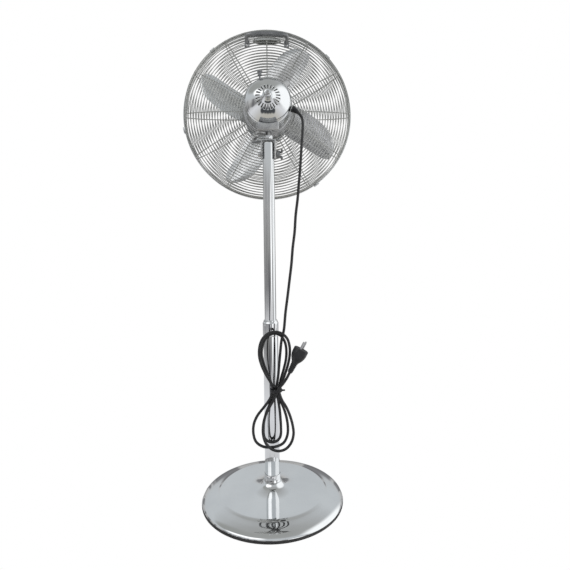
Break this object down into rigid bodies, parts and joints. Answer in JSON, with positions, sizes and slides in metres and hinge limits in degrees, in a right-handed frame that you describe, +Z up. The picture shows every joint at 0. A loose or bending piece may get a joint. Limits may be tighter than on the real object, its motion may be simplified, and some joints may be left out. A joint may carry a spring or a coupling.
{
  "type": "pedestal fan",
  "caption": "Chrome pedestal fan with a stepped round base, telescopic column, tilting and oscillating wire-guarded head, carrying handle and a hanked mains lead.",
  "frame": {"origin": "on the floor under the middle of the round base", "axes": "+Z up the column, -Y the way the air blows, +X to the left as seen from behind the fan"},
  "size_m": [0.4398, 0.34, 1.1765],
  "materials": {
    "chrome": "bright mirror chrome plating",
    "guard_wire": "chromed steel wire",
    "blade_aluminium": "polished pressed sheet",
    "plain_steel": "machined or zinc plated",
    "black_rubber": "matt moulded rubber",
    "black_plastic": "satin moulded plastic",
    "cord_sheath": "smooth black flexible sheath",
    "dark_grey_metal": "dark grey die casting",
    "cast_iron": "rough casting and laminations",
    "copper_winding": "enamelled copper wire",
    "white_nylon": "natural nylon"
  },
  "bodies": {
    "base": {"base_rubber_ring": "black_rubber", "base_weight": "cast_iron", "base_shell": "chrome", "tube_flange": "chrome", "tube_foot": "cast_iron", "base_bolt": "plain_steel", "outer_tube": "chrome", "tube_bush": "white_nylon"},
    "lock_collar": {"lock_collar": "chrome"},
    "column": {"inner_tube": "chrome", "pole_insert": "cast_iron", "tilt_bolt": "plain_steel", "cord_lower": "cord_sheath", "cord_hank": "cord_sheath", "cord_tie": "black_plastic", "cord_tail": "cord_sheath", "plug_body": "black_plastic", "plug_pin_1": "plain_steel", "plug_pin_2": "plain_steel"},
    "tilt_knob": {"tilt_knob": "dark_grey_metal"},
    "neck": {"tilt_yoke": "dark_grey_metal", "neck_post": "chrome", "pivot_pin": "plain_steel", "link_stud": "plain_steel"},
    "link": {"link_arm": "plain_steel"},
    "crank": {"crank_disc": "plain_steel", "drive_gear": "white_nylon"},
    "head": {"gearbox_housing": "dark_grey_metal", "motor_housing": "chrome", "rear_cover": "chrome", "cover_screw": "plain_steel", "stator_core": "cast_iron", "stator_coil_front": "copper_winding", "front_bearing": "plain_steel", "rear_bearing": "plain_steel", "motor_front_plate": "plain_steel", "rear_guard": "guard_wire", "front_guard": "guard_wire", "rim_band": "chrome", "rim_clip_1": "chrome", "rim_clip_2": "chrome", "rim_clip_3": "chrome", "rim_clip_4": "chrome", "front_badge_disc": "chrome", "carry_handle": "dark_grey_metal", "handle_screw_1": "plain_steel", "handle_screw_2": "plain_steel", "cord_gland": "black_plastic", "cord_upper": "cord_sheath"},
    "rotor": {"motor_shaft": "plain_steel", "rotor_core": "plain_steel", "worm_gear": "plain_steel", "blade_hub": "blade_aluminium", "blade_1": "blade_aluminium", "blade_2": "blade_aluminium", "blade_3": "blade_aluminium", "blade_4": "blade_aluminium", "spinner_nut": "chrome"},
    "clutch_knob": {"clutch_knob": "dark_grey_metal"},
    "speed_knob": {"speed_knob": "black_plastic"}
  },
  "joints": [
    {"name": "height_slide", "type": "slide", "parent": "base", "child": "column", "axis": [0, 0, 1], "range_m": [-0.06, 0.12]},
    {"name": "collar_twist", "type": "hinge", "parent": "base", "child": "lock_collar", "pos_m": [0, 0, 0.417], "axis": [0, 0, 1], "range_deg": [-20, 100]},
    {"name": "head_tilt", "type": "hinge", "parent": "column", "child": "neck", "pos_m": [0, 0, 0.834], "axis": [1, 0, 0], "range_deg": [-20, 10], "deforming": ["cord_lower"]},
    {"name": "tilt_knob_turn", "type": "hinge", "parent": "column", "child": "tilt_knob", "pos_m": [-0.0268, 0, 0.834], "axis": [1, 0, 0], "range_deg": [-180, 45]},
    {"name": "oscillation", "type": "hinge", "parent": "neck", "child": "head", "pos_m": [0, 0, 0.884], "axis": [0, 0, 1], "range_deg": [-35, 35], "deforming": ["cord_upper"]},
    {"name": "crank_turn", "type": "hinge", "parent": "head", "child": "crank", "pos_m": [0.018, 0.01, 0.882], "axis": [0, 0, 1], "range_deg": [-92, 92]},
    {"name": "link_swing", "type": "hinge", "parent": "neck", "child": "link", "pos_m": [0.0345, -0.0197, 0.8741], "axis": [0, 0, 1], "range_deg": [-8, 20]},
    {"name": "blade_spin", "type": "hinge", "parent": "head", "child": "rotor", "pos_m": [0, -0.102, 0.957], "axis": [0, -1, 0], "continuous": true},
    {"name": "clutch_pull", "type": "slide", "parent": "head", "child": "clutch_knob", "axis": [0, 0, 1], "range_m": [0, 0.007]},
    {"name": "speed_turn", "type": "hinge", "parent": "head", "child": "speed_knob", "pos_m": [-0.03696, -0.022, 1.00105], "axis": [-0.6428, 0, 0.766], "range_deg": [0, 135]}
  ],
  "couplings": [
    {"joint": "crank_turn", "follows": "oscillation", "ratio": 2.5714}
  ]
}
